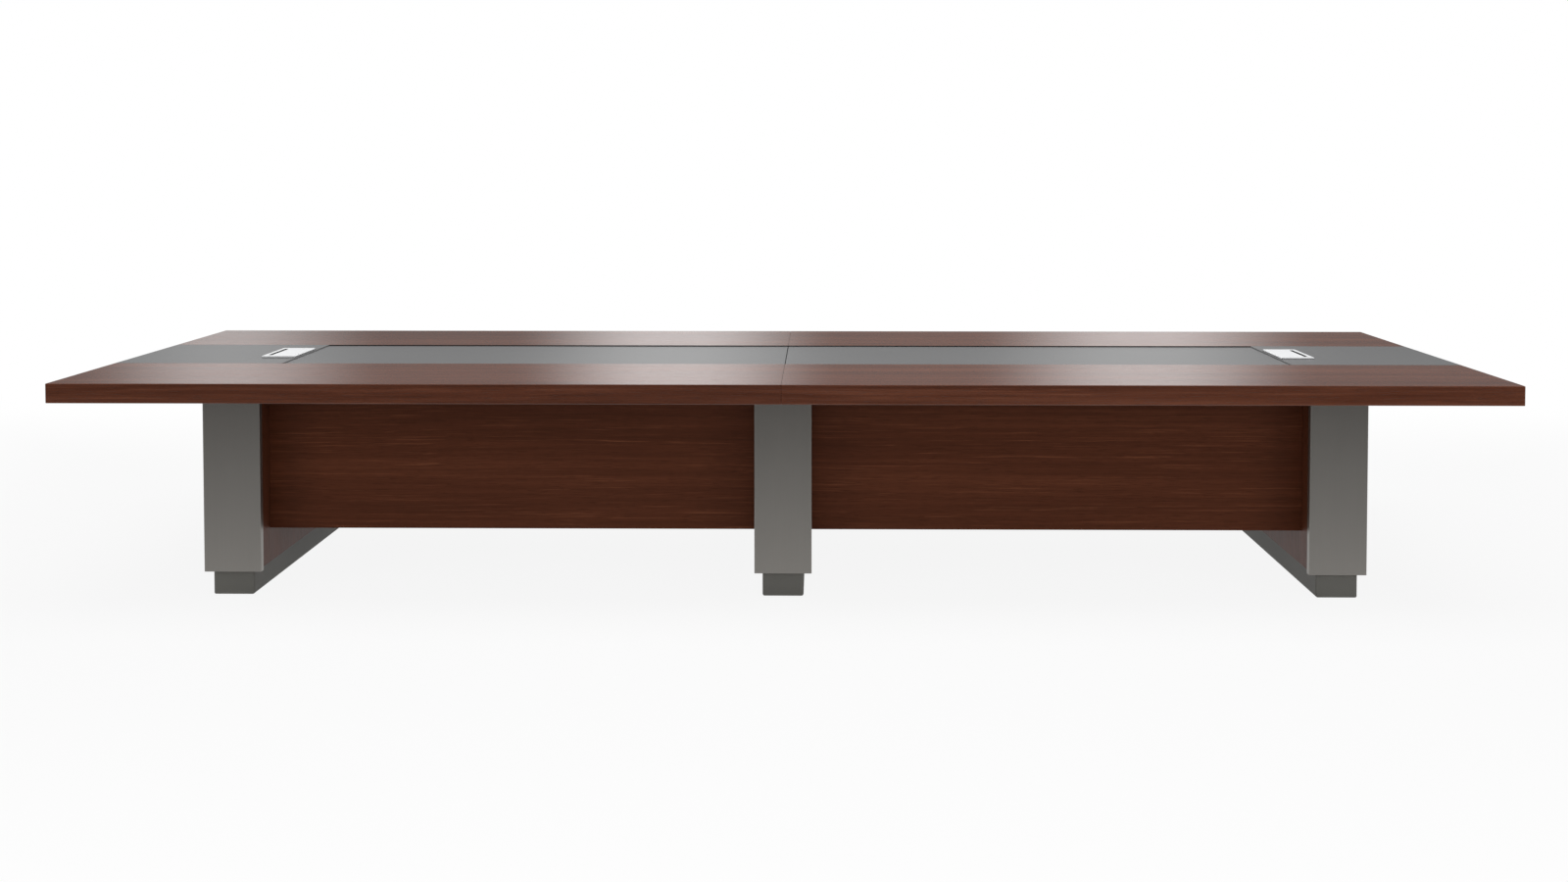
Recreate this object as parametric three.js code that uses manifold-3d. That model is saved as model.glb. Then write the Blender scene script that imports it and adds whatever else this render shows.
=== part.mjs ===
// Conference table: a walnut top in two halves with a grey band along its middle, on three hollow
// panel legs, with walnut modesty panels between them and a hinged cable flap over each end leg.
// Millimetres, +Z up. The origin is on the floor under the middle of the top. +X runs along the
// table, and -Y is the front.

import * as THREE from 'three';
import { mergeVertices } from 'three/addons/utils/BufferGeometryUtils.js';
import Module from 'manifold-3d';

const wasm = await Module();
wasm.setup();

// Top
const tableLength = 4800;
const tableWidth = 1600;
const tableHeight = 760;
const bandWidth = 560; // from the front boards to the rear ones
const boardThickness = 25;
const edgeDepth = 65; // built-up edge that shows all round
const edgeWidth = 60; // width of the built-up strip
const edgeRound = 2.5;
const seamGap = 1; // open joint between the left and the right half
const panelGap = 1; // open joint between neighbouring panels of the top
const bandDrop = 4; // the band's middle panels below the boards
const bandSeam = 3; // open joint in the middle of the band
const portJoint = 0.4; // tight joint between a port and an end panel
const portMargin = 6; // port panel beyond each side of its flap, at least
const portSeat = 6.5; // port panel on each side of its leg, at least

// Cable flap
const flapWidth = 120;
const flapLength = 250;
const flapShift = 14; // flap from the middle of its leg, towards the middle of the table, at most
const flapRise = 6.5; // top of the flap above the port panel
const bezelRound = 3;
const bezelFlange = 8; // how far the bezel overlaps the port panel
const cutoutGap = 1; // collar in the port panel's cut-out
const collarDepth = 40;
const collarWall = 2;
const outerBar = 14; // fixed bar beside the cable slot
const endBar = 6; // fixed bar at each end of the lid
const lidThickness = 4;
const lidGap = 0.4;
const lidSeat = 0.3; // lid above its ledge
const slotWidth = 14;
const slotLength = 194;
const trimThickness = 1; // rubber lining of the cable slot
const trimGap = 0.3; // lining to the metal that it is stuck to
const trimSink = 0.3; // lining below the top of the flap
const linerWall = 1.2; // rubber lining of the collar
const linerFoot = 1; // lining above the lower end of the collar
const barrelRadius = 3;
const barrelEdge = 1; // barrel inside the bezel's inner edge
const rodRadius = 1.5;
const rodRunning = 0.2; // rod in the lid's barrel
const rodSeat = 0.06; // rod in the frame's ears
const rodInset = 0.5;

// Rails under the joints between boards and band
const railWidth = 60;
const railHeight = 30;
const railWall = 2.5;
const railRound = 4;
const railEndGap = 20; // rail end to the built-up edge
const notchGap = 0.5; // rail in the notch of a leg side

// Legs
const legInset = 520; // middle of an end leg from the table's end
const legSetback = 235; // face of a leg's cap from the table's front or rear edge
const capWidth = 195;
const capReturn = 25;
const capSheet = 2;
const capBend = 4;
const sideThickness = 19;
const sideInset = 10; // leg side behind the cap's return
const sideLift = 5; // leg side above the cap's lower end
const baseThickness = 28;
const baseGap = 15; // base board short of each stile
const cableSlotWidth = 60;
const cableSlotLength = 160;

// Plinths and levelling glides
const plinthWidth = 140;
const plinthHeight = 80;
const plinthClearance = 2; // plinth above the floor
const plinthSetback = 14; // plinth behind the face of the cap
const plinthSheet = 3;
const plinthLip = 18; // turned-in lip that the base board is screwed to
const plinthEdgeRound = 7;
const plinthCornerRound = 5;
const glideInset = 90; // glide from the end of the plinth
const glidePadRadius = 20;
const glidePadHeight = 6;
const glidePadGap = 2;
const glideNeckRadius = 9;
const glideNeckHeight = 8;
const glideStemRadius = 5;
const glideStemGap = 0.25;
const glideStemGrip = 23; // stem inside the base board
const glideChamfer = 1;

// Modesty panels and the plates that join the two halves of the top
const modestySetback = 125; // panel behind the faces of the caps
const modestyThickness = 18;
const modestyBottom = 205;
const modestyGap = 0.5;
const joinPlateWidth = 60;
const joinPlateThickness = 5;
const joinPlateGap = 6;
const joinPlateRound = 8;
const joinHoleRadius = 3;
const joinHoleInset = 15;

// Places worked out from the sizes above
const halfLength = tableLength / 2;
const halfWidth = tableWidth / 2;
const boardUnderside = tableHeight - boardThickness;
const edgeBottom = tableHeight - edgeDepth;
const bandTop = tableHeight - bandDrop;
const boardInnerY = bandWidth / 2;
const bandHalf = boardInnerY - panelGap;
const endLegX = halfLength - legInset;
const legHalf = halfWidth - legSetback;
const stileY = legHalf - capReturn;
const cavityHalf = capWidth / 2 - sideInset - sideThickness;
const legSideOuter = cavityHalf + sideThickness;
const plinthTop = plinthClearance + plinthHeight;
const plinthHalf = legHalf - plinthSetback;
const glideY = plinthHalf - glideInset;
const railBottom = boardUnderside - railHeight;
const collarHalfX = flapWidth / 2 - bezelFlange;
const collarHalfY = flapLength / 2 - bezelFlange;
const flapX = endLegX - Math.max(0, Math.min(flapShift, cavityHalf - collarHalfX - cutoutGap));
const portInner = Math.min(flapX - flapWidth / 2 - portMargin, endLegX - cavityHalf - portSeat);
const portOuter = Math.max(flapX + flapWidth / 2 + portMargin, endLegX + cavityHalf + portSeat);
const hingeX = flapWidth / 2 - barrelEdge - barrelRadius;
const hingeZ = flapRise - barrelRadius;
const lidHalfY = flapLength / 2 - endBar - lidGap;
const lidBottom = flapRise - lidThickness;
const lidBed = lidBottom - lidSeat;
const slotOuterX = outerBar - flapWidth / 2;
const slotInnerX = slotOuterX + slotWidth;
const slotHalfY = slotLength / 2;

const cornerSteps = 2; // an arc gets twice as many sides
const roundSteps = 10;
const beyond = 10; // cutters reach this far past what they cut

const walnut = new THREE.MeshStandardMaterial({ color: '#5a3524', roughness: 0.3, metalness: 0 });
const greyLaminate = new THREE.MeshStandardMaterial({ color: '#77777a', roughness: 0.4, metalness: 0 });
const brushedMetal = new THREE.MeshStandardMaterial({ color: '#7b7875', roughness: 0.42, metalness: 0.8 });
const aluminium = new THREE.MeshStandardMaterial({ color: '#e4e5e6', roughness: 0.35, metalness: 0.6 });
const carcassBoard = new THREE.MeshStandardMaterial({ color: '#a98a66', roughness: 0.8, metalness: 0 });
const blackSteel = new THREE.MeshStandardMaterial({ color: '#26272a', roughness: 0.5, metalness: 0.4 });
const blackRubber = new THREE.MeshStandardMaterial({ color: '#161617', roughness: 0.75, metalness: 0 });
const brightSteel = new THREE.MeshStandardMaterial({ color: '#b9babd', roughness: 0.3, metalness: 1 });

// Joins and cuts: three.js geometry to a manifold solid and back
function toSolid(geometry) {
  const bare = geometry.clone();
  bare.deleteAttribute('normal');
  bare.deleteAttribute('uv');
  const merged = mergeVertices(bare, 1e-4);
  return new wasm.Manifold(new wasm.Mesh({
    numProp: 3,
    vertProperties: new Float32Array(merged.attributes.position.array),
    triVerts: new Uint32Array(merged.index.array),
  }));
}

function toGeometry(solid) {
  const { vertProperties, triVerts } = solid.getMesh();
  const geometry = new THREE.BufferGeometry();
  geometry.setAttribute('position', new THREE.BufferAttribute(vertProperties, 3));
  geometry.setIndex(new THREE.BufferAttribute(triVerts, 1));
  geometry.computeVertexNormals();
  return geometry;
}

function addMesh(parent, name, geometry, material) {
  const mesh = new THREE.Mesh(geometry, material);
  mesh.name = name;
  parent.add(mesh);
}

// The stretch from near to far on the positive or the negative side of an axis
function span(side, near, far) {
  return side > 0 ? [near, far] : [-far, -near];
}

// Rectangle whose corners are given from the low left one, counter-clockwise, with a radius each
function rectangle(x0, y0, x1, y1, radii = [0, 0, 0, 0]) {
  const corners = [[x0, y0, 1, 1], [x1, y0, -1, 1], [x1, y1, -1, -1], [x0, y1, 1, -1]];
  const shape = new THREE.Shape();
  corners.forEach(([x, y, inX, inY], index) => {
    const radius = radii[index];
    const [centreX, centreY] = [x + inX * radius, y + inY * radius];
    const start = Math.PI * (1 + index / 2);
    const from = [centreX + radius * Math.cos(start), centreY + radius * Math.sin(start)];
    if (index === 0) shape.moveTo(...from);
    else shape.lineTo(...from);
    if (radius > 0) shape.absarc(centreX, centreY, radius, start, start + Math.PI / 2);
  });
  return shape;
}

function circle(x, y, radius) {
  const path = new THREE.Path();
  path.absarc(x, y, radius, 0, 2 * Math.PI);
  return path;
}

// Slot with round ends, its length along Y
function cableSlot() {
  const radius = cableSlotWidth / 2;
  const straight = cableSlotLength / 2 - radius;
  const path = new THREE.Shape();
  path.absarc(0, straight, radius, 0, Math.PI);
  path.absarc(0, -straight, radius, Math.PI, 2 * Math.PI);
  return path;
}

// Extrusions of an outline: (x, y) along Z, (y, z) along X, (x, z) along Y
const xAxis = new THREE.Vector3(1, 0, 0);
const yAxis = new THREE.Vector3(0, 1, 0);
const zAxis = new THREE.Vector3(0, 0, 1);
const towardsX = new THREE.Matrix4().makeBasis(yAxis, zAxis, xAxis);
const towardsY = new THREE.Matrix4().makeBasis(xAxis, zAxis, yAxis.clone().negate());

function alongZ(shape, z0, z1, curveSegments = cornerSteps) {
  const settings = { depth: z1 - z0, bevelEnabled: false, curveSegments };
  return new THREE.ExtrudeGeometry(shape, settings).translate(0, 0, z0);
}

function alongX(shape, x0, x1, curveSegments) {
  return alongZ(shape, x0, x1, curveSegments).applyMatrix4(towardsX);
}

function alongY(shape, y0, y1, curveSegments) {
  return alongZ(shape, -y1, -y0, curveSegments).applyMatrix4(towardsY);
}

// Radii of a section whose two corners on the outer side are eased
function outerRound(side) {
  return side > 0 ? [0, edgeRound, edgeRound, 0] : [edgeRound, 0, 0, edgeRound];
}

// Walnut board of the top: built up along its outer edge and its end, with the arris eased
function topBoard(side, row) {
  const [x0, x1] = span(side, seamGap / 2, halfLength);
  const [y0, y1] = span(row, boardInnerY, halfWidth);
  const lengthwise = alongX(rectangle(y0, edgeBottom, y1, tableHeight, outerRound(row)), x0, x1);
  const crosswise = alongY(rectangle(x0, edgeBottom, x1, tableHeight, outerRound(side)), y0, y1);
  const [pocketX0, pocketX1] = span(side, 0, halfLength - edgeWidth);
  const [pocketY0, pocketY1] = span(row, 0, halfWidth - edgeWidth);
  const pocket = alongZ(rectangle(pocketX0, pocketY0, pocketX1, pocketY1), 0, boardUnderside);
  return toGeometry(toSolid(lengthwise).intersect(toSolid(crosswise)).subtract(toSolid(pocket)));
}

// End panel of the band: level with the boards and built up at the table's end
function bandEnd(side) {
  const [x0, x1] = span(side, portOuter + portJoint / 2, halfLength);
  const panel = alongY(rectangle(x0, edgeBottom, x1, tableHeight, outerRound(side)), -bandHalf, bandHalf);
  const [pocketX0, pocketX1] = span(side, 0, halfLength - edgeWidth);
  const pocketShape = rectangle(pocketX0, -bandHalf - beyond, pocketX1, bandHalf + beyond);
  const pocket = alongZ(pocketShape, 0, boardUnderside);
  return toGeometry(toSolid(panel).subtract(toSolid(pocket)));
}

// Port panel of the band, with the cut-out that a flap drops into
function bandPort(side) {
  const [x0, x1] = span(side, portInner + panelGap / 2, portOuter - portJoint / 2);
  const shape = rectangle(x0, -bandHalf, x1, bandHalf);
  const cutX = collarHalfX + cutoutGap;
  const cutY = collarHalfY + cutoutGap;
  const centre = side * flapX;
  shape.holes.push(rectangle(centre - cutX, -cutY, centre + cutX, cutY, Array(4).fill(bezelRound)));
  return alongZ(shape, boardUnderside, tableHeight);
}

function bandMiddle(side) {
  const [x0, x1] = span(side, bandSeam / 2, portInner - panelGap / 2);
  return alongZ(rectangle(x0, -bandHalf, x1, bandHalf), boardUnderside, bandTop);
}

// Steel box rail under the joint between a board and the band
function rail(side, row) {
  const [x0, x1] = span(side, seamGap / 2, halfLength - edgeWidth - railEndGap);
  const [y0, y1] = span(row, boardInnerY - railWidth / 2, boardInnerY + railWidth / 2);
  const shape = rectangle(y0, railBottom, y1, boardUnderside, Array(4).fill(railRound));
  const inner = Array(4).fill(railRound - railWall);
  const [low, high] = [railBottom + railWall, boardUnderside - railWall];
  shape.holes.push(rectangle(y0 + railWall, low, y1 - railWall, high, inner));
  return alongX(shape, x0, x1);
}

// Radii of a plan outline whose two corners on the outer side of a row are round
function rowRound(row, radius) {
  return row > 0 ? [0, 0, radius, radius] : [radius, radius, 0, 0];
}

// Folded metal cap on the end of a leg: a face and two returns
function legCap(row) {
  const [y0, y1] = span(row, stileY, legHalf);
  const [innerY0, innerY1] = span(row, stileY - beyond, legHalf - capSheet);
  const half = capWidth / 2;
  const innerHalf = half - capSheet;
  const outer = alongZ(rectangle(-half, y0, half, y1, rowRound(row, capBend)), plinthTop, boardUnderside);
  const innerShape = rectangle(-innerHalf, innerY0, innerHalf, innerY1, rowRound(row, capBend - capSheet));
  const inner = alongZ(innerShape, plinthTop - beyond, boardUnderside + beyond);
  return toGeometry(toSolid(outer).subtract(toSolid(inner)));
}

// Upright that fills a cap and ties the two leg sides together
function legStile(row) {
  const [y0, y1] = span(row, stileY, legHalf - capSheet);
  const half = capWidth / 2 - capSheet;
  return alongZ(rectangle(-half, y0, half, y1, rowRound(row, capBend)), plinthTop, boardUnderside);
}

// Walnut side of a leg, notched at its top for the two rails
function legSide(side) {
  const [x0, x1] = span(side, cavityHalf, legSideOuter);
  const notchHalf = railWidth / 2 + notchGap;
  const low = plinthTop + sideLift;
  const shape = new THREE.Shape();
  shape.moveTo(-stileY, low);
  shape.lineTo(stileY, low);
  shape.lineTo(stileY, boardUnderside);
  for (const railY of [boardInnerY, -boardInnerY]) {
    shape.lineTo(railY + notchHalf, boardUnderside);
    shape.lineTo(railY + notchHalf, railBottom);
    shape.lineTo(railY - notchHalf, railBottom);
    shape.lineTo(railY - notchHalf, boardUnderside);
  }
  shape.lineTo(-stileY, boardUnderside);
  return alongX(shape, x0, x1);
}

// Floor of a leg, with the cable slot and a threaded hole for each glide
function legBase() {
  const halfY = stileY - baseGap;
  const shape = rectangle(-cavityHalf, -halfY, cavityHalf, halfY);
  const holeRadius = glideStemRadius + glideStemGap;
  shape.holes.push(cableSlot(), circle(0, glideY, holeRadius), circle(0, -glideY, holeRadius));
  return alongZ(shape, plinthTop, plinthTop + baseThickness, roundSteps);
}

// Folded metal plinth: a tray with rounded lower edges and a turned-in lip round its open top
function legPlinth() {
  const half = plinthWidth / 2;
  const round = [plinthEdgeRound, plinthEdgeRound, 0, 0];
  const section = rectangle(-half, plinthClearance, half, plinthTop, round);
  const plan = rectangle(-half, -plinthHalf, half, plinthHalf, Array(4).fill(plinthCornerRound));
  const lengthwise = alongY(section, -plinthHalf, plinthHalf);
  const upright = alongZ(plan, 0, plinthTop);

  const innerHalf = half - plinthSheet;
  const innerRound = round.map((radius) => Math.max(radius - plinthSheet, 0));
  const [floor, ceiling] = [plinthClearance + plinthSheet, plinthTop - plinthSheet];
  const hollowShape = rectangle(-innerHalf, floor, innerHalf, ceiling, innerRound);
  const hollow = alongY(hollowShape, plinthSheet - plinthHalf, plinthHalf - plinthSheet);

  const mouthX = half - plinthLip;
  const mouthY = plinthHalf - plinthLip;
  const mouthShape = rectangle(-mouthX, -mouthY, mouthX, mouthY, Array(4).fill(plinthCornerRound));
  const mouth = alongZ(mouthShape, ceiling - beyond, plinthTop + beyond);

  const slot = alongZ(cableSlot(), 0, floor + beyond, roundSteps);
  let tray = toSolid(lengthwise).intersect(toSolid(upright))
    .subtract(toSolid(hollow))
    .subtract(toSolid(mouth))
    .subtract(toSolid(slot));
  for (const y of [glideY, -glideY]) {
    const hole = new THREE.CylinderGeometry(glidePadRadius + glidePadGap, glidePadRadius + glidePadGap,
      2 * (floor + beyond), 2 * roundSteps).rotateX(Math.PI / 2).translate(0, y, 0);
    tray = tray.subtract(toSolid(hole));
  }
  return toGeometry(tray);
}

// Levelling glide: a round pad on a threaded stem
function glide(y) {
  const stemTop = plinthTop + glideStemGrip;
  const neckTop = glidePadHeight + glideNeckHeight;
  const profile = [
    [0, 0],
    [glidePadRadius - glideChamfer, 0],
    [glidePadRadius, glideChamfer],
    [glidePadRadius, glidePadHeight - 2 * glideChamfer],
    [glidePadRadius - 2 * glideChamfer, glidePadHeight],
    [glideNeckRadius, glidePadHeight],
    [glideNeckRadius, neckTop],
    [glideStemRadius, neckTop],
    [glideStemRadius, stemTop - glideChamfer],
    [glideStemRadius - glideChamfer, stemTop],
    [0, stemTop],
  ].map(([radius, height]) => new THREE.Vector2(radius, height));
  return new THREE.LatheGeometry(profile, 2 * roundSteps).rotateX(Math.PI / 2).translate(0, y, 0);
}

function addLeg(parent, name, x) {
  const leg = new THREE.Group();
  leg.position.x = x;
  for (const [end, row] of [['front', -1], ['rear', 1]]) {
    addMesh(leg, `${name}_leg_${end}_cap`, legCap(row), brushedMetal);
    addMesh(leg, `${name}_leg_${end}_stile`, legStile(row), carcassBoard);
    addMesh(leg, `${name}_leg_${end}_glide`, glide(row * glideY), brightSteel);
  }
  addMesh(leg, `${name}_leg_left_side`, legSide(-1), walnut);
  addMesh(leg, `${name}_leg_right_side`, legSide(1), walnut);
  addMesh(leg, `${name}_leg_base`, legBase(), carcassBoard);
  addMesh(leg, `${name}_leg_plinth`, legPlinth(), brushedMetal);
  parent.add(leg);
}

// Flap frame: a bezel with a collar that drops through the port panel. Its lid side lies towards +X.
function flapFrame() {
  const halfX = flapWidth / 2;
  const halfY = flapLength / 2;
  const round = Array(4).fill(bezelRound);
  const bezel = alongZ(rectangle(-halfX, -halfY, halfX, halfY, round), 0, flapRise);
  const collarShape = rectangle(-collarHalfX, -collarHalfY, collarHalfX, collarHalfY, round);
  const collar = alongZ(collarShape, -collarDepth, flapRise / 2);
  const throatX = collarHalfX - collarWall;
  const throatY = collarHalfY - collarWall;
  const throat = alongZ(rectangle(-throatX, -throatY, throatX, throatY), -collarDepth - beyond, lidBed);
  const recessY = halfY - endBar;
  const recessShape = rectangle(slotOuterX, -recessY, halfX + beyond, recessY);
  const recess = alongZ(recessShape, lidBed, flapRise + beyond);
  const barrelX = hingeX - barrelRadius - lidGap;
  const barrelBed = alongZ(rectangle(barrelX, -recessY, halfX + beyond, recessY), 0, flapRise + beyond);
  const bore = rodCylinder(rodRadius + rodSeat, halfY + beyond);
  return toGeometry(toSolid(bezel).add(toSolid(collar))
    .subtract(toSolid(throat))
    .subtract(toSolid(recess))
    .subtract(toSolid(barrelBed))
    .subtract(toSolid(bore)));
}

function rodCylinder(radius, halfY) {
  const rod = new THREE.CylinderGeometry(radius, radius, 2 * halfY, 2 * roundSteps);
  return rod.translate(hingeX, 0, hingeZ);
}

// Lid: an extruded plate with a hinge barrel along its inner edge and the cable slot along its outer one
function flapLid() {
  const outerX = slotOuterX + lidGap;
  const start = Math.PI + Math.asin((hingeZ - lidBottom) / barrelRadius);
  const profile = new THREE.Shape();
  profile.moveTo(outerX, flapRise);
  profile.lineTo(outerX, lidBottom);
  profile.absarc(hingeX, hingeZ, barrelRadius, start, 2.5 * Math.PI);
  profile.holes.push(circle(hingeX, hingeZ, rodRadius + rodRunning));
  const plate = alongY(profile, -lidHalfY, lidHalfY, roundSteps);
  const slotShape = rectangle(outerX - beyond, -slotHalfY, slotInnerX, slotHalfY);
  const slot = alongZ(slotShape, lidBottom - beyond, flapRise + beyond);
  return toGeometry(toSolid(plate).subtract(toSolid(slot)));
}

// Black rubber lining of the collar, with a flange under the frame's bar and a lip along the bar's edge
function flapLiner() {
  const outX = collarHalfX - collarWall - trimGap;
  const outY = collarHalfY - collarWall - trimGap;
  const shape = rectangle(-outX, -outY, outX, outY);
  shape.holes.push(rectangle(linerWall - outX, linerWall - outY, outX - linerWall, outY - linerWall));
  const top = lidBed - trimGap;
  const tube = alongZ(shape, linerFoot - collarDepth, top);
  const lipX = slotOuterX + trimGap + trimThickness;
  const lipY = slotHalfY - 2 * trimGap - trimThickness;
  const flange = alongZ(rectangle(-outX, -lipY, lipX, lipY), top - linerWall, top);
  const lipShape = rectangle(lipX - trimThickness, -lipY, lipX, lipY);
  const lip = alongZ(lipShape, top - linerWall, flapRise - trimSink);
  return toGeometry(toSolid(tube).add(toSolid(flange)).add(toSolid(lip)));
}

// Black rubber trim round the three edges of the lid's slot
function lidTrim() {
  const [outX, outY] = [slotInnerX - trimGap, slotHalfY - trimGap];
  const [inX, inY] = [outX - trimThickness, outY - trimThickness];
  const endX = slotOuterX + trimGap;
  const corners = [[endX, -outY], [outX, -outY], [outX, outY], [endX, outY], [endX, inY], [inX, inY],
    [inX, -inY], [endX, -inY]];
  const shape = new THREE.Shape(corners.map(([x, y]) => new THREE.Vector2(x, y)));
  return alongZ(shape, lidBottom, flapRise - trimSink);
}

function addFlap(parent, name, side) {
  const flap = new THREE.Group();
  flap.position.set(side * flapX, 0, tableHeight);
  flap.rotation.z = side > 0 ? Math.PI : 0;
  addMesh(flap, `${name}_flap_frame`, flapFrame(), aluminium);
  addMesh(flap, `${name}_flap_lid`, flapLid(), aluminium);
  addMesh(flap, `${name}_flap_liner`, flapLiner(), blackRubber);
  addMesh(flap, `${name}_flap_lid_trim`, lidTrim(), blackRubber);
  addMesh(flap, `${name}_flap_rod`, rodCylinder(rodRadius, flapLength / 2 - rodInset), brightSteel);
  parent.add(flap);
}

// Walnut panel between two legs, up to the underside of the rails
function modestyPanel(side, row) {
  const [x0, x1] = span(side, legSideOuter + modestyGap, endLegX - legSideOuter - modestyGap);
  const front = legHalf - modestySetback;
  const [y0, y1] = span(row, front - modestyThickness, front);
  return alongZ(rectangle(x0, y0, x1, y1), modestyBottom, railBottom);
}

// Flat plate under the middle joint, midway between rail and stile, with a screw hole near each corner
function joinPlate(row) {
  const halfX = cavityHalf - joinPlateGap;
  const middle = (boardInnerY + railWidth / 2 + stileY) / 2;
  const [y0, y1] = span(row, middle - joinPlateWidth / 2, middle + joinPlateWidth / 2);
  const shape = rectangle(-halfX, y0, halfX, y1, Array(4).fill(joinPlateRound));
  for (const x of [joinHoleInset - halfX, halfX - joinHoleInset]) {
    for (const y of [y0 + joinHoleInset, y1 - joinHoleInset]) {
      shape.holes.push(circle(x, y, joinHoleRadius));
    }
  }
  return alongZ(shape, boardUnderside - joinPlateThickness, boardUnderside, roundSteps / 2);
}

const table = new THREE.Group();

for (const [half, side] of [['left', -1], ['right', 1]]) {
  for (const [end, row] of [['front', -1], ['rear', 1]]) {
    addMesh(table, `top_board_${end}_${half}`, topBoard(side, row), walnut);
    addMesh(table, `rail_${end}_${half}`, rail(side, row), blackSteel);
    addMesh(table, `modesty_${end}_${half}`, modestyPanel(side, row), walnut);
  }
  addMesh(table, `band_end_${half}`, bandEnd(side), greyLaminate);
  addMesh(table, `band_port_${half}`, bandPort(side), greyLaminate);
  addMesh(table, `band_middle_${half}`, bandMiddle(side), greyLaminate);
  addFlap(table, half, side);
  addLeg(table, half, side * endLegX);
}

addLeg(table, 'middle', 0);
addMesh(table, 'join_plate_front', joinPlate(-1), blackSteel);
addMesh(table, 'join_plate_rear', joinPlate(1), blackSteel);

export default table;
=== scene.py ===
import math

import bpy
from mathutils import Matrix, Vector


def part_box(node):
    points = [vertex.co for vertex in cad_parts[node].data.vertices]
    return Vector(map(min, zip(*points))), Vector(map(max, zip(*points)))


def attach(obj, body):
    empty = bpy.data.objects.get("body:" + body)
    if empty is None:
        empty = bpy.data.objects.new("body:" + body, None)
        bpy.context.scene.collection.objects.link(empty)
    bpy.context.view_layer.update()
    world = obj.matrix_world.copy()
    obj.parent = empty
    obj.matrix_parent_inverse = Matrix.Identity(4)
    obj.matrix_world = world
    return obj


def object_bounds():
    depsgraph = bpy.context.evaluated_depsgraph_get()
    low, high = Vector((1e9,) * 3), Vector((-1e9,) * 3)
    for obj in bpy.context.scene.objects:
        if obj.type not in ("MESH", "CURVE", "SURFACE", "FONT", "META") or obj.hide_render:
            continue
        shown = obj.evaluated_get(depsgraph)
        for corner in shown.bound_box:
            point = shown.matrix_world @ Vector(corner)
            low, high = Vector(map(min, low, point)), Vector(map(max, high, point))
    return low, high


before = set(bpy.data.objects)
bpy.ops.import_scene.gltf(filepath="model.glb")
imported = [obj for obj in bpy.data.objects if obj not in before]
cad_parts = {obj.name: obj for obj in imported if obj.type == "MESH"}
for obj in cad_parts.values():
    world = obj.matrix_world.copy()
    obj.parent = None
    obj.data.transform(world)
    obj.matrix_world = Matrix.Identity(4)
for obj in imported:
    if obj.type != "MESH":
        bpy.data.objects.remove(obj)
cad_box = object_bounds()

scene = bpy.context.scene
scene.view_settings.view_transform = "Standard"


# Plinths. Folded steel trays under the legs, with a fine powder coat in mid grey.
# They are screwed up into the base boards through their turned-in lips.

class Value:
    """A number on the surface: sums of values add Math nodes."""

    def __init__(self, finish, socket):
        self.finish = finish
        self.socket = socket

    def math(self, operation, first, second=0.0):
        return self.finish.node("ShaderNodeMath", {"operation": operation}, {0: first, 1: second})

    def __add__(self, other):
        return self.math("ADD", self, other)

    def __radd__(self, other):
        return self.math("ADD", other, self)

    def __sub__(self, other):
        return self.math("SUBTRACT", self, other)

    def __rsub__(self, other):
        return self.math("SUBTRACT", other, self)

    def __mul__(self, other):
        return self.math("MULTIPLY", self, other)

    def __rmul__(self, other):
        return self.math("MULTIPLY", other, self)

    def __truediv__(self, other):
        return self.math("DIVIDE", self, other)

    def __gt__(self, other):
        return self.math("GREATER_THAN", self, other)

    def __abs__(self):
        return self.math("ABSOLUTE", self)

    def __floor__(self):
        return self.math("FLOOR", self)


class Finish:
    """A new material, or the world, whose nodes are added one by one."""

    def __init__(self, name, kind="materials"):
        self.made = getattr(bpy.data, kind).new(name)
        self.made.use_nodes = True
        self.tree = self.made.node_tree
        self.tree.nodes.clear()

    def node(self, kind, settings={}, inputs={}, output=0):
        made = self.tree.nodes.new(kind)
        for key, setting in settings.items():
            if key == "stops":
                elements = made.color_ramp.elements
                while len(elements) < len(setting):
                    elements.new(1.0)
                for element, (position, colour) in zip(elements, setting):
                    element.position = position
                    element.color = colour
            else:
                setattr(made, key, setting)
        for key, given in inputs.items():
            if isinstance(given, Value):
                self.tree.links.new(given.socket, made.inputs[key])
            else:
                made.inputs[key].default_value = given
        return Value(self, made.outputs[output]) if made.outputs else None

    def place(self):
        return self.node("ShaderNodeTexCoord", output="Object")

    def noise(self, place, scale, detail=2.0, roughness=0.5):
        stretched = self.node("ShaderNodeMapping", inputs={"Vector": place, "Scale": scale})
        inputs = {"Vector": stretched, "Scale": 1.0, "Detail": detail, "Roughness": roughness}
        return self.node("ShaderNodeTexNoise", inputs=inputs)

    def mix(self, share, first, second):
        return self.node("ShaderNodeMix", {"data_type": "RGBA"}, {0: share, 6: first, 7: second}, 2)

    def smooth(self, value, low, high):
        inputs = {"Value": value, "From Min": low, "From Max": high}
        return self.node("ShaderNodeMapRange", {"interpolation_type": "SMOOTHSTEP"}, inputs)

    def bump(self, height, strength, distance):
        inputs = {"Height": height, "Strength": strength, "Distance": distance}
        return self.node("ShaderNodeBump", inputs=inputs)

    def surface(self, **sockets):
        inputs = {key.replace("_", " "): given for key, given in sockets.items()}
        shader = self.node("ShaderNodeBsdfPrincipled", inputs=inputs)
        self.node("ShaderNodeOutputMaterial", inputs={"Surface": shader})
        return self.made


def srgb(red, green, blue):
    """A colour as it is seen on a screen, from 0 to 255, as linear light."""
    def linear(level):
        level /= 255
        return level / 12.92 if level <= 0.04045 else ((level + 0.055) / 1.055) ** 2.4
    return (linear(red), linear(green), linear(blue), 1.0)


def dress(material, *nodes):
    for name in nodes:
        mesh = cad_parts[name].data
        mesh.materials.clear()
        mesh.materials.append(material)


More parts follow.
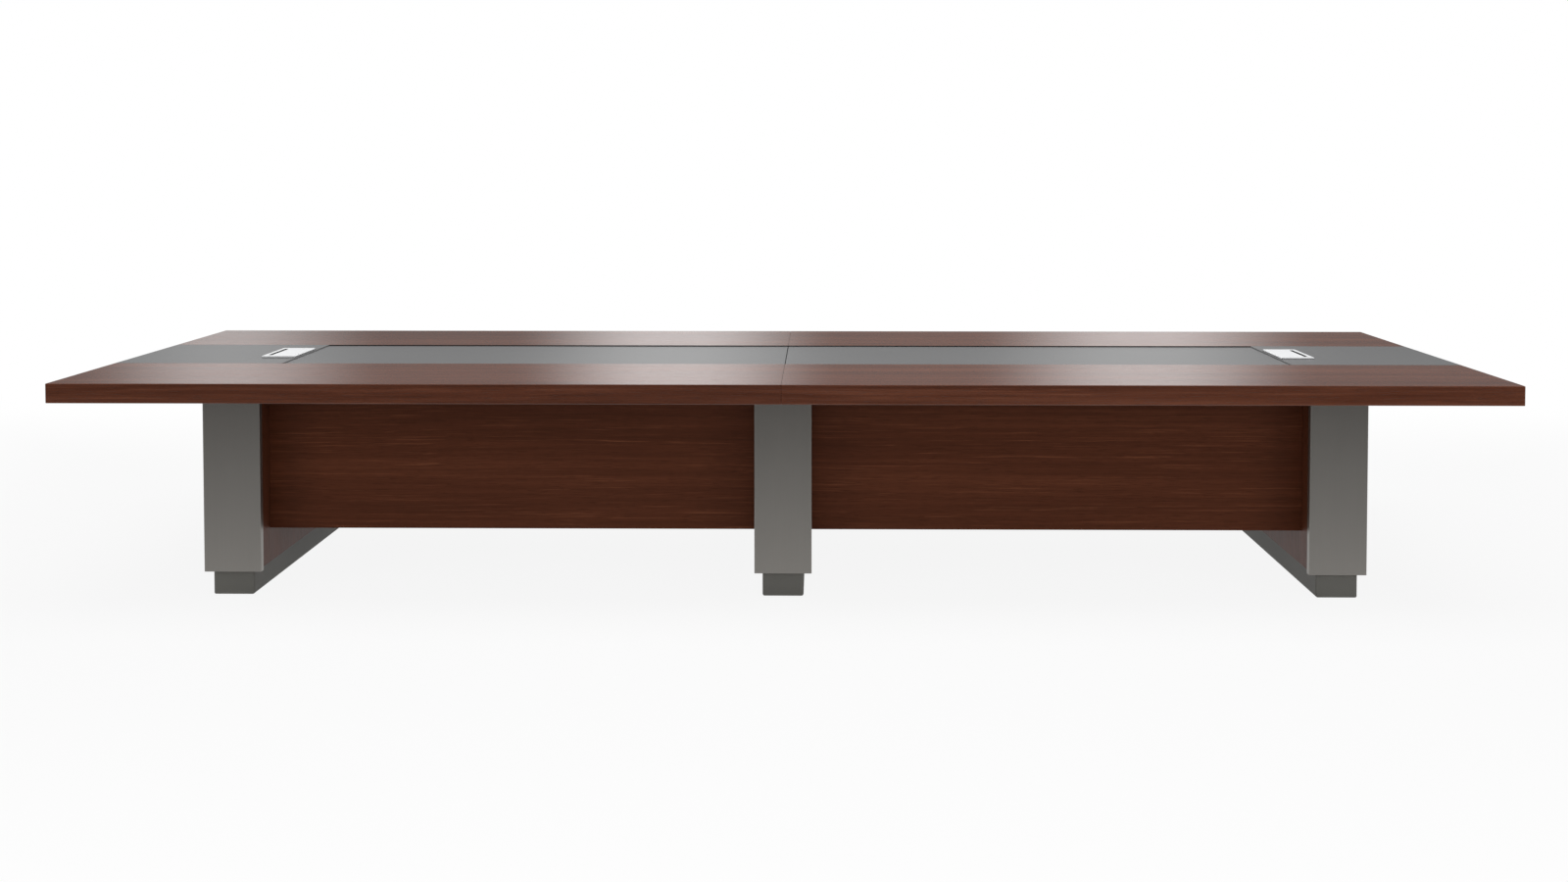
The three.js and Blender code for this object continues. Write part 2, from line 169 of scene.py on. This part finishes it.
def powder_coat(name, colour, paler, roughness, gloss):
    finish = Finish(name)
    place = finish.place()
    peel = finish.noise(place, (900, 900, 900))
    cloud = finish.noise(place, (5, 5, 5), detail=3.0)
    return finish.surface(
        Base_Color=finish.mix(cloud, colour, paler),
        Roughness=roughness + 0.12 * (peel - 0.5),
        Metallic=0.15,
        Specular_IOR_Level=gloss,
        Normal=finish.bump(peel, strength=0.12, distance=0.0004),
    )


legs = ("left", "middle", "right")
plinth_grey = powder_coat(
    "plinth_grey", srgb(99, 98, 94), srgb(110, 109, 104), roughness=0.58, gloss=0.2)
dress(plinth_grey, *[f"{leg}_leg_plinth" for leg in legs])


# Levelling glides. Turned steel feet with a threaded stem, zinc plated, screwed into the base
# boards. The rods that the flap lids turn on are drawn steel with a like bright finish.

def bright_steel(name, colour, darker, lines):
    """Steel with fine tool marks, as close together along each axis as lines says."""
    finish = Finish(name)
    place = finish.place()
    turned = finish.noise(place, lines)
    bloom = finish.noise(place, (60, 60, 60), detail=3.0)
    return finish.surface(
        Base_Color=finish.mix(bloom, colour, darker),
        Roughness=0.26 + 0.16 * turned,
        Metallic=1.0,
        Normal=finish.bump(turned, strength=0.1, distance=0.0002),
    )


ends = ("front", "rear")
halves = ("left", "right")
turned_lines = (80, 80, 2500)
drawn_lines = (2500, 40, 2500)
zinc = bright_steel("zinc_plate", srgb(196, 198, 200), srgb(160, 160, 158), turned_lines)
drawn_steel = bright_steel("drawn_steel", srgb(198, 198, 200), srgb(176, 176, 178), drawn_lines)
dress(zinc, *[f"{leg}_leg_{end}_glide" for leg in legs for end in ends])
dress(drawn_steel, *[f"{half}_flap_rod" for half in halves])


# Leg cores. The base board and the two stiles of each leg are chipboard, glued up and mostly hidden
# by the caps. Their upright edges are lipped in brown, and their raw faces only show from below
# or through an open flap.

def chipboard(name, lipping, paler_lipping):
    """Board with raw faces above and below, whose upright faces are lipped."""
    finish = Finish(name)
    place = finish.place()
    inputs = {"Vector": place, "Scale": 420.0}
    chips = finish.node("ShaderNodeTexVoronoi", {"feature": "F1"}, inputs, "Color")
    chip = finish.node("ShaderNodeSeparateColor", inputs={"Color": chips})
    dust = finish.noise(place, (1400, 1400, 1400))
    pale = finish.mix(chip, srgb(148, 116, 82), srgb(192, 160, 120))
    raw = finish.mix(0.3 * dust, pale, srgb(112, 82, 54))
    streaks = finish.noise(place, (75, 75, 1.2), detail=4.0)
    normal = finish.node("ShaderNodeNewGeometry", output="Normal")
    facing = finish.node("ShaderNodeSeparateXYZ", inputs={0: normal}, output="Z")
    level = abs(facing) > 0.7
    return finish.surface(
        Base_Color=finish.mix(level, finish.mix(streaks, lipping, paler_lipping), raw),
        Roughness=0.55 + level * (0.23 + 0.12 * chip),
        Normal=finish.bump(level * (chip + dust), strength=0.3, distance=0.0005),
    )


core = chipboard("lipped_chipboard", srgb(58, 28, 14), srgb(92, 50, 31))
dress(core, *[f"{leg}_leg_base" for leg in legs])
dress(core, *[f"{leg}_leg_{end}_stile" for leg in legs for end in ends])


# Leg sides and modesty panels. Walnut veneer on board, oiled to a satin sheen.
# The grain stands upright on the leg sides and lies along the table on the modesty panels.

lengthwise, upright = 0, 2


def walnut(name, grain, tones, contrast, sheen, gloss, leaf=None, painted_shade_edge=None, turned_ends=False):
    """Veneer whose grain runs along one axis.

    Leaf is the width of the leaves. The painted shade edge gives how far from the table's middle
    the edges painted in shade reach, and the shade's colour. Turned ends have the grain of their
    lipping across the table.
    """
    finish = Finish(name)
    place = finish.place()
    parts = [finish.node("ShaderNodeSeparateXYZ", inputs={0: place}, output=axis)
             for axis in range(3)]
    if turned_ends:
        normal = finish.node("ShaderNodeNewGeometry", output="Normal")
        facing = finish.node("ShaderNodeSeparateXYZ", inputs={0: normal}, output="X")
        swapped = finish.node(
            "ShaderNodeCombineXYZ", inputs={0: parts[1], 1: parts[0], 2: parts[2]})
        inputs = {0: abs(facing) > 0.7, 4: place, 5: swapped}
        place = finish.node("ShaderNodeMix", {"data_type": "VECTOR"}, inputs, 1)

    def along(length, width):
        return [length if axis == grain else width for axis in range(3)]

    sway = 0.05 * (finish.noise(place, along(0.5, 1.6)) - 0.5)
    ripple = 0.006 * (finish.noise(place, along(5.0, 9.0)) - 0.5)
    aside = finish.node("ShaderNodeCombineXYZ", inputs={
        axis: sway + ripple for axis in range(3) if axis != grain})
    place = finish.node("ShaderNodeVectorMath", {"operation": "ADD"}, {0: place, 1: aside})
    figure = finish.noise(place, along(0.3, 9.0), detail=3.0)
    streaks = finish.noise(place, along(1.2, 75.0), detail=4.0, roughness=0.62)
    pores = finish.noise(place, along(16.0, 620.0), detail=1.0)
    flecks = finish.noise(place, along(2.6, 190.0), detail=3.0)
    right_half = parts[0] > 0.0
    tone = 0.45 * figure + 0.55 * streaks + 0.025 * right_half
    if leaf:
        number = math.floor(abs(parts[1]) / leaf) + 7.0 * right_half
        chance = finish.node("ShaderNodeTexWhiteNoise", {"noise_dimensions": "1D"}, {"W": number})
        tone = tone + 0.05 * (chance - 0.5)
    spread = 0.2 / contrast
    stops = [(0.5 - spread, tones[0]), (0.5, tones[1]), (0.5 + spread, tones[2])]
    colour = finish.node("ShaderNodeValToRGB", {"stops": stops}, {0: tone})
    colour = finish.mix(0.48 * finish.smooth(flecks, 0.56, 0.76), colour, tones[3])
    pore = finish.smooth(pores, 0.56, 0.7)
    colour = finish.mix(0.55 * pore, colour, tones[0])
    # Painted shade: the board edges nearest the table's middle take the dark shade colour.
    if painted_shade_edge:
        edge, painted_step_shade = painted_shade_edge
        colour = finish.mix(abs(parts[1]) > edge, painted_step_shade, colour)
    return finish.surface(
        Base_Color=colour,
        Roughness=sheen + 0.1 * streaks + 0.1 * pore,
        Specular_IOR_Level=gloss,
        Normal=finish.bump(streaks - 0.6 * pore, strength=0.08, distance=0.0003),
    )


panel_tones = (srgb(58, 28, 14), srgb(81, 42, 25), srgb(106, 59, 38), srgb(128, 77, 52))
dress(walnut("walnut_upright", upright, panel_tones, contrast=0.5, sheen=0.44, gloss=0.18),
      *[f"{leg}_leg_{half}_side" for leg in legs for half in halves])
dress(walnut("walnut_lengthwise", lengthwise, panel_tones, contrast=0.5, sheen=0.42, gloss=0.08),
      *[f"modesty_{end}_{half}" for end in ends for half in halves])


# Leg caps. Folded sheet metal round the front and rear end of each leg, brushed up and down
# and coated in a warm grey. Each cap is glued over its stile.

def brushed_coat(name, colour, paler):
    finish = Finish(name)
    place = finish.place()
    brush = finish.noise(place, (1100, 1100, 5), detail=3.0, roughness=0.6)
    cloud = finish.noise(place, (6, 6, 1.5))
    return finish.surface(
        Base_Color=finish.mix(0.6 * brush + 0.4 * cloud, colour, paler),
        Roughness=0.36 + 0.14 * brush,
        Metallic=0.9,
        Normal=finish.bump(brush, strength=0.05, distance=0.0002),
    )


cap_coat = brushed_coat("cap_coat", srgb(127, 124, 120), srgb(143, 140, 135))
dress(cap_coat, *[f"{leg}_leg_{end}_cap" for leg in legs for end in ends])


# Rails and join plates. Black steel box sections under the joints of the top, and the two flat
# plates that hold its halves together. They are screwed to the boards from below.

black_coat = powder_coat(
    "black_coat", srgb(34, 35, 37), srgb(42, 43, 45), roughness=0.5, gloss=0.4)
dress(black_coat, *[f"rail_{end}_{half}" for end in ends for half in halves])
dress(black_coat, "join_plate_front", "join_plate_rear")


# Screws. Low round heads with a socket, under every join plate hole and along each rail.
# They are zinc plated like the glides, and driven up into the boards.

head_radius = 0.0052
head_height = 0.0026
head_rounding = head_height * 0.45
socket_rim = head_radius * 0.22
socket_depth = head_height * 0.6


def pick_faces(piece, wanted):
    """Leaves the piece in edit mode with only the wanted faces selected."""
    bpy.ops.object.mode_set(mode="EDIT")
    bpy.ops.mesh.select_mode(type="FACE")
    bpy.ops.mesh.select_all(action="DESELECT")
    bpy.ops.object.mode_set(mode="OBJECT")
    for face in piece.data.polygons:
        face.select = wanted(face)
    bpy.ops.object.mode_set(mode="EDIT")


bpy.ops.object.select_all(action="DESELECT")
bpy.ops.mesh.primitive_cylinder_add(
    vertices=18, radius=head_radius, depth=head_height, location=(0, 0, -head_height / 2))
screw = bpy.context.active_object
bpy.ops.object.transform_apply(location=True, rotation=True, scale=True)
pick_faces(screw, lambda face: face.normal.z < -0.9)
bpy.ops.mesh.bevel(offset=head_rounding, segments=3, affect="EDGES")
bpy.ops.object.mode_set(mode="OBJECT")
crown = min(face.center.z for face in screw.data.polygons) + 1e-5
pick_faces(screw, lambda face: face.center.z < crown)
bpy.ops.mesh.inset(thickness=socket_rim)
bpy.ops.mesh.extrude_region_move(TRANSFORM_OT_translate={"value": (0, 0, socket_depth)})
bpy.ops.object.mode_set(mode="OBJECT")
bpy.ops.object.shade_smooth_by_angle(angle=math.radians(35))
screw.data.materials.append(zinc)


def drive_screw(name, *seat):
    """Copies the screw head to the point that it bears on."""
    head = screw.copy()
    head.name = name
    head.data = screw.data.copy()
    head.data.transform(Matrix.Translation(seat))
    scene.collection.objects.link(head)
    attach(head, "table")


plate_hole_inset = 0.015
for end in ends:
    low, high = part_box(f"join_plate_{end}")
    across = (low[0] + plate_hole_inset, high[0] - plate_hole_inset)
    deep = (low[1] + plate_hole_inset, high[1] - plate_hole_inset)
    for number, (x, y) in enumerate([(x, y) for x in across for y in deep]):
        drive_screw(f"plate_screw_{end}_{number}", x, y, low[2])

rail_screw_places = (0.25, 0.75, 1.25, 1.7, 2.15)  # from the middle of the table
for end in ends:
    for half in halves:
        low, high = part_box(f"rail_{end}_{half}")
        for number, distance in enumerate(rail_screw_places):
            x = distance if half == "right" else -distance
            middle = (low[1] + high[1]) / 2
            drive_screw(f"rail_screw_{end}_{half}_{number}", x, middle, low[2])

bpy.data.objects.remove(screw)


# Top boards. Walnut veneer in leaves laid side by side along the table, lacquered to a sheen,
# with a built-up edge that is lipped in the same veneer. The edges along the band are painted
# near black as shade, for the shade of the step down to the band.

top_tones = (srgb(62, 30, 17), srgb(87, 46, 29), srgb(111, 64, 44), srgb(122, 72, 50))
# Painted shade: near black for the boards' inner edges, in place of the shade of the step down to
# the band.
painted_step_shade = srgb(24, 20, 19)
step_shade_margin = 0.0003
leaf_width = 0.13
band_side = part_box("top_board_rear_left")[0][1] + step_shade_margin
dress(walnut("walnut_top", lengthwise, top_tones, contrast=1.0, sheen=0.16, gloss=0.5,
             leaf=leaf_width, painted_shade_edge=(band_side, painted_step_shade), turned_ends=True),
      *[f"top_board_{end}_{half}" for end in ends for half in halves])


# Band along the middle. Six panels in a plain grey laminate with a fine grained face,
# laid on the rails between the boards with open joints.

def laminate(name, colour, paler):
    finish = Finish(name)
    place = finish.place()
    speck = finish.noise(place, (1600, 1600, 1600), detail=1.0)
    cloud = finish.noise(place, (2.5, 4, 4))
    return finish.surface(
        Base_Color=finish.mix(0.5 * speck + 0.5 * cloud, colour, paler),
        Roughness=0.34 + 0.1 * speck,
        Normal=finish.bump(speck, strength=0.06, distance=0.0002),
    )


dress(laminate("grey_laminate", srgb(92, 92, 93), srgb(103, 103, 103)),
      *[f"band_{place}_{half}" for place in ("end", "port", "middle") for half in halves])


# Cable flaps. Extruded aluminium, silver anodised to a pale satin: a frame that drops into its
# port panel, and a lid with a cable slot that turns on a rod. The frame's foot and collar are
# painted black as shade: the shade of the gap under the bezel and down the collar.

def anodised(name, colour, darker, painted_foot_shade, painted_foot_shade_top):
    """Aluminium that is painted in a shade colour up to the given height."""
    finish = Finish(name)
    place = finish.place()
    height = finish.node("ShaderNodeSeparateXYZ", inputs={0: place}, output="Z")
    drawn = finish.noise(place, (900, 6, 900))
    bloom = finish.noise(place, (30, 30, 30))
    pale = finish.mix(0.5 * drawn + 0.5 * bloom, colour, darker)
    return finish.surface(
        # Painted shade: below that height the frame takes the black of the shade in the gap and
        # collar.
        Base_Color=finish.mix(height > painted_foot_shade_top, painted_foot_shade, pale),
        Roughness=0.38 + 0.1 * drawn,
        Metallic=0.25,
        Normal=finish.bump(drawn, strength=0.05, distance=0.0002),
    )


silver, dull_silver = srgb(234, 235, 236), srgb(224, 225, 226)
# Painted shade: black for the gap line under each bezel and down its collar.
painted_gap_shade = srgb(30, 30, 31)
painted_foot_shade_height = 0.0018
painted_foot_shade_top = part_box("band_port_left")[1][2] + painted_foot_shade_height
dress(anodised("frame_anodised", silver, dull_silver, painted_gap_shade, painted_foot_shade_top),
      *[f"{half}_flap_frame" for half in halves])
dress(anodised("lid_anodised", silver, dull_silver, silver, painted_foot_shade_top),
      *[f"{half}_flap_lid" for half in halves])


# Flap linings. Black rubber: a moulded liner that is pushed into the frame's collar, and an edge
# trim that is pressed on to the three edges of the lid's slot, so that no cable is cut.

def rubber(name, colour, paler):
    finish = Finish(name)
    place = finish.place()
    grain = finish.noise(place, (1500, 1500, 1500))
    chalk = finish.noise(place, (25, 25, 25), detail=3.0)
    return finish.surface(
        Base_Color=finish.mix(chalk, colour, paler),
        Roughness=0.7 + 0.15 * grain,
        Specular_IOR_Level=0.2,
        Normal=finish.bump(grain, strength=0.15, distance=0.0003),
    )


dress(rubber("black_rubber", srgb(16, 16, 17), srgb(26, 26, 27)),
      *[f"{half}_flap_{piece}" for half in halves for piece in ("liner", "lid_trim")])


# Floor and backdrop. A white studio floor that keeps the table's shadow, under a white sky.
# For the camera and for reflections the floor is mostly plain white.

def shown_rays(finish):
    rays = [finish.node("ShaderNodeLightPath", output=f"Is {kind} Ray")
            for kind in ("Camera", "Glossy", "Transmission")]
    return rays[0] + rays[1] + rays[2]


def distance_from_table(finish):
    """How far a point of the floor lies outside the table's outline."""
    axes = [finish.node("ShaderNodeSeparateXYZ", inputs={0: finish.place()}, output=axis)
            for axis in (0, 1)]
    outside = [abs(axis) - half for axis, half in zip(axes, cad_box[1])]
    return outside[0].math("MAXIMUM", outside[0], outside[1])


white_light = (1, 1, 1, 1)
floor_grey, floor_paler = (0.5, 0.5, 0.5, 1), (0.54, 0.54, 0.54, 1)
floor_size = 120.0
shadow_share = 0.1
shadow_reach = (0.5, 3.0)
bpy.ops.object.select_all(action="DESELECT")
bpy.ops.mesh.primitive_plane_add(size=floor_size)
floor = bpy.context.active_object
floor.name = "studio_floor"
finish = Finish("studio_white")
grain = finish.noise(finish.place(), (40, 40, 40))
far = finish.smooth(distance_from_table(finish), *shadow_reach)
matt = finish.node("ShaderNodeBsdfPrincipled", inputs={
    "Base Color": finish.mix(grain, floor_grey, floor_paler), "Roughness": 0.9,
    "Specular IOR Level": 0.0})
white = finish.node("ShaderNodeEmission", inputs={"Color": white_light, "Strength": 1.0})
shown = finish.node("ShaderNodeMixShader", inputs={
    0: (1 - shadow_share * (1 - far)) * shown_rays(finish), 1: matt, 2: white})
finish.node("ShaderNodeOutputMaterial", inputs={"Surface": shown})
floor.data.materials.append(finish.made)

sky_light = 0.5
finish = Finish("studio_sky", "worlds")
scene.world = finish.made
strength = sky_light + (1 - sky_light) * shown_rays(finish)
background = finish.node(
    "ShaderNodeBackground", inputs={"Color": white_light, "Strength": strength})
finish.node("ShaderNodeOutputWorld", inputs={"Surface": background})


# Floor flag. A dark cloth round the table that only shows in reflections, so that the edges,
# caps and panels mirror a pale floor near the table and a dark room beyond it.

def show_in_reflections_only(board):
    for kind in ("camera", "diffuse", "shadow", "transmission"):
        setattr(board, f"visible_{kind}", False)


flag_lift = 0.0005
flag_reach = (-0.6, 4.4)
near_level = 1.0
far_level = 0.03
bpy.ops.object.select_all(action="DESELECT")
bpy.ops.mesh.primitive_plane_add(size=floor_size, location=(0, 0, flag_lift))
flag = bpy.context.active_object
flag.name = "floor_flag"
bpy.ops.object.transform_apply(location=True, rotation=True, scale=True)
finish = Finish("flag_cloth")
away = finish.smooth(distance_from_table(finish), *flag_reach)
level = near_level + (far_level - near_level) * away
glow = finish.node("ShaderNodeEmission", inputs={"Color": level})
finish.node("ShaderNodeOutputMaterial", inputs={"Surface": glow})
flag.data.materials.append(finish.made)
show_in_reflections_only(flag)


# Screens. A tall screen behind the table with soft bright and dark stretches, and a dark one behind
# the camera. They only show in reflections: as the pale zones on the polished top, and as the dark
# room that the front edges and caps mirror.

screen_length = 24.0
screen_height = 6.0
rear_distance = 5.0
front_distance = -9.0
dark_level = 0.21
front_level = 0.06
bright_stretches = (  # middle, half of the bright core, half with its soft edge, brightness
    (-3.95, 0.05, 1.1, 0.64),
    (-0.88, 0.11, 1.13, 0.95),
    (2.33, 0.1, 1.19, 0.85),
)


def screen(name, distance, level, stretches):
    bpy.ops.object.select_all(action="DESELECT")
    bpy.ops.mesh.primitive_plane_add(size=1)
    board = bpy.context.active_object
    board.name = name
    board.scale = (screen_length, screen_height, 1)
    board.rotation_euler = (math.radians(90), 0, 0)
    board.location = (0, distance, screen_height / 2)
    bpy.ops.object.transform_apply(location=True, rotation=True, scale=True)
    finish = Finish(name)
    across = finish.node("ShaderNodeSeparateXYZ", inputs={0: finish.place()}, output="X")
    for middle, core_half, outer_half, brightness in stretches:
        outside = finish.smooth(abs(across - middle), core_half, outer_half)
        level = level + brightness * (1 - outside)
    colour = level if stretches else (level, level, level, 1)
    glow = finish.node("ShaderNodeEmission", inputs={"Color": colour})
    finish.node("ShaderNodeOutputMaterial", inputs={"Surface": glow})
    board.data.materials.append(finish.made)
    show_in_reflections_only(board)


screen("rear_screen", rear_distance, dark_level, bright_stretches)
screen("front_screen", front_distance, front_level, ())


# Lights. One wide soft box above the table, two weaker ones to the left and right in front of it,
# and a faint one between them.

def soft_box(name, place, aim, size, power):
    light = bpy.data.lights.new(name, "AREA")
    light.shape = "RECTANGLE"
    light.size, light.size_y = size
    light.energy = power
    lamp = bpy.data.objects.new(name, light)
    lamp.location = place
    lamp.rotation_euler = (Vector(aim) - Vector(place)).to_track_quat("-Z", "Y").to_euler()
    lamp.visible_glossy = False
    lamp.visible_camera = False
    scene.collection.objects.link(lamp)


top_size = (7.0, 2.4)
front_size = (2.6, 2.0)
soft_box("top_light", (0.3, -0.6, 4.2), (0.3, -0.3, 0.7), top_size, power=200.0)
soft_box("left_front_light", (-5.6, -4.6, 1.7), (-0.6, 0.0, 0.4), front_size, power=54.0)
soft_box("right_front_light", (5.6, -4.6, 1.7), (0.6, 0.0, 0.4), front_size, power=58.0)
soft_box("middle_front_light", (0.2, -6.0, 1.7), (0.2, 0.0, 0.4), front_size, power=30.0)


# Camera. Standing eye height in front of the table, a little right of its middle, and looking
# down by two degrees. The lens shift puts the point that it looks at in the picture's upper part.

pitch = 2.0
turn_left = 0.713
picture = (1600, 900)
sight_point = (818.97, 215.57)
camera_data = bpy.data.cameras.new("camera")
camera_data.sensor_width = 36.0
camera_data.lens = 37.168
camera_data.shift_x = (picture[0] / 2 - sight_point[0]) / picture[0]
camera_data.shift_y = (sight_point[1] - picture[1] / 2) / picture[0]
camera = bpy.data.objects.new("camera", camera_data)
camera.location = (0.1347, -6.0239, 1.5055)
camera.rotation_euler = (math.radians(90 - pitch), 0, math.radians(turn_left))
scene.collection.objects.link(camera)
scene.camera = camera
